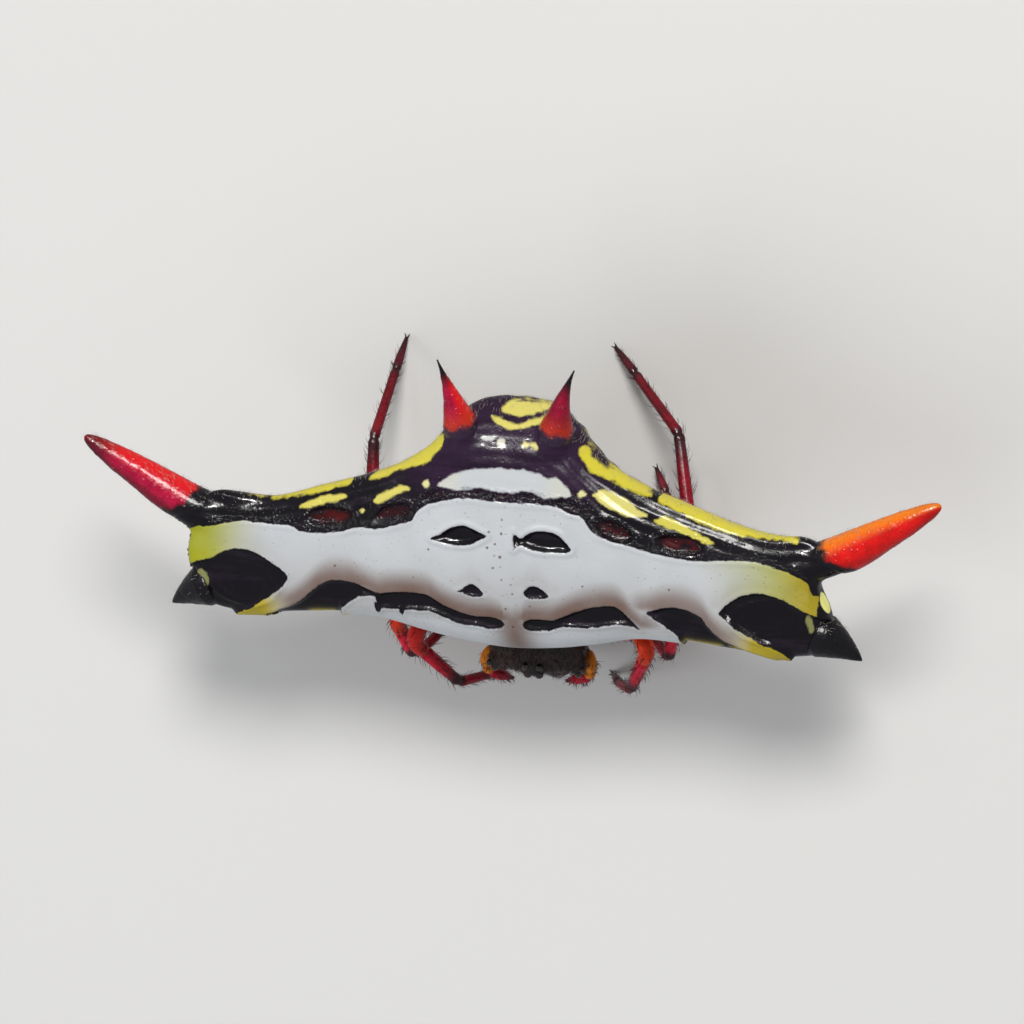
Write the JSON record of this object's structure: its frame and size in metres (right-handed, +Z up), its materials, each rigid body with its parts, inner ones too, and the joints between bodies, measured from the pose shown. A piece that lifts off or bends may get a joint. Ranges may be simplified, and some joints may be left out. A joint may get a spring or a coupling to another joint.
{
  "type": "spiny orb weaver spider",
  "caption": "Still, life-size spiny orb weaver: wide hard shield with paired spines and sunken scars, small head, eyes, jaws, palps and jointless legs on the floor.",
  "frame": {"origin": "middle of the whole model's box, on the floor under the feet", "axes": "+X to the animal's left side, along the widest spines; +Y to its rear end, so it faces -Y; +Z up"},
  "size_m": [0.0224, 0.0098, 0.0058],
  "materials": {
    "shield": "hard white shield with black scars, yellow corners and a black rear slope",
    "spine_red": "glossy red horn, darker at the tip",
    "spine_black": "glossy black horn",
    "head": "black with short pale hairs",
    "leg": "dark crimson with dark bristles",
    "palp": "orange with dark bristles",
    "eye": "polished black",
    "jaw": "glossy dark brown",
    "spinneret": "dull dark brown"
  },
  "bodies": {
    "root": {"abdomen": "shield", "spine_anterior_left": "spine_black", "spine_anterior_right": "spine_black", "spine_median_left": "spine_red", "spine_median_right": "spine_red", "spine_posterior_left": "spine_red", "spine_posterior_right": "spine_red", "cephalothorax": "head", "eyes_median": "eye", "eyes_left": "eye", "eyes_right": "eye", "sternum": "head", "chelicera_left": "jaw", "chelicera_right": "jaw", "palp_left": "palp", "palp_right": "palp", "pedicel": "head", "spinnerets": "spinneret", "leg_1_left_femur": "leg", "leg_1_left_tibia": "leg", "leg_1_left_tarsus": "leg", "leg_1_right_femur": "leg", "leg_1_right_tibia": "leg", "leg_1_right_tarsus": "leg", "leg_2_left_femur": "leg", "leg_2_left_tibia": "leg", "leg_2_left_tarsus": "leg", "leg_2_right_femur": "leg", "leg_2_right_tibia": "leg", "leg_2_right_tarsus": "leg", "leg_3_left_femur": "leg", "leg_3_left_tibia": "leg", "leg_3_left_tarsus": "leg", "leg_3_right_femur": "leg", "leg_3_right_tibia": "leg", "leg_3_right_tarsus": "leg", "leg_4_left_femur": "leg", "leg_4_left_tibia": "leg", "leg_4_left_tarsus": "leg", "leg_4_right_femur": "leg", "leg_4_right_tibia": "leg", "leg_4_right_tarsus": "leg"}
  },
  "joints": []
}
